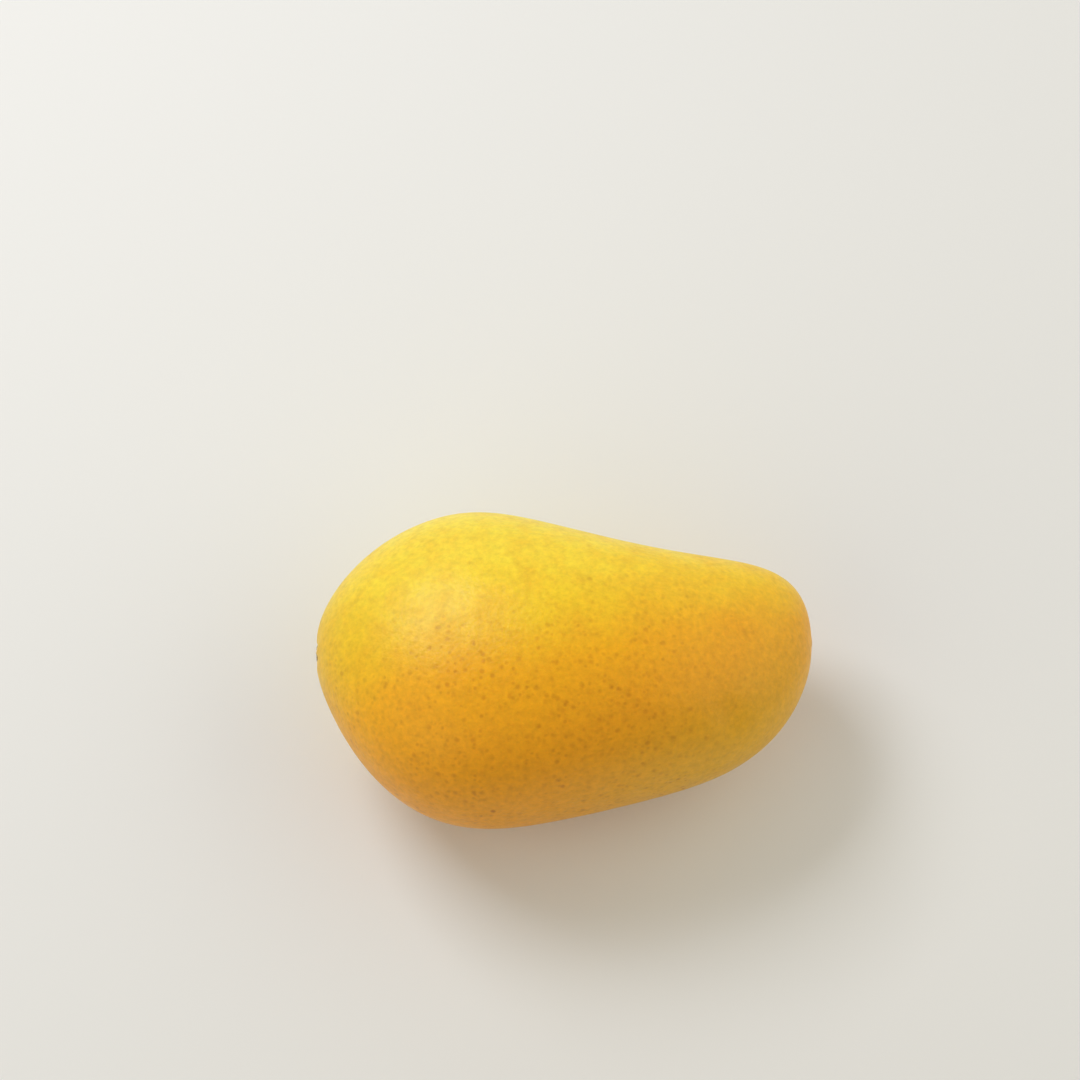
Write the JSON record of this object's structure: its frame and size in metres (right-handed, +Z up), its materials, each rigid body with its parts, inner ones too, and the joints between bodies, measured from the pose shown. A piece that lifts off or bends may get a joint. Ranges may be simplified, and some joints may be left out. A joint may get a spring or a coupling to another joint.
{
  "type": "mango",
  "caption": "Ripe golden-yellow mango, a long kidney-shaped whole fruit with a smooth waxy skin, lying on its flat cheek.",
  "frame": {"origin": "middle of the fruit's box in X and Y, on the surface that it rests on", "axes": "+X along the fruit from the stem end to the apex, +Y towards the ventral edge that dips in, +Z up through the two cheeks"},
  "size_m": [0.1196, 0.077, 0.0613],
  "materials": {
    "ripe_skin": "satin"
  },
  "bodies": {
    "root": {"mango": "ripe_skin"}
  },
  "joints": []
}
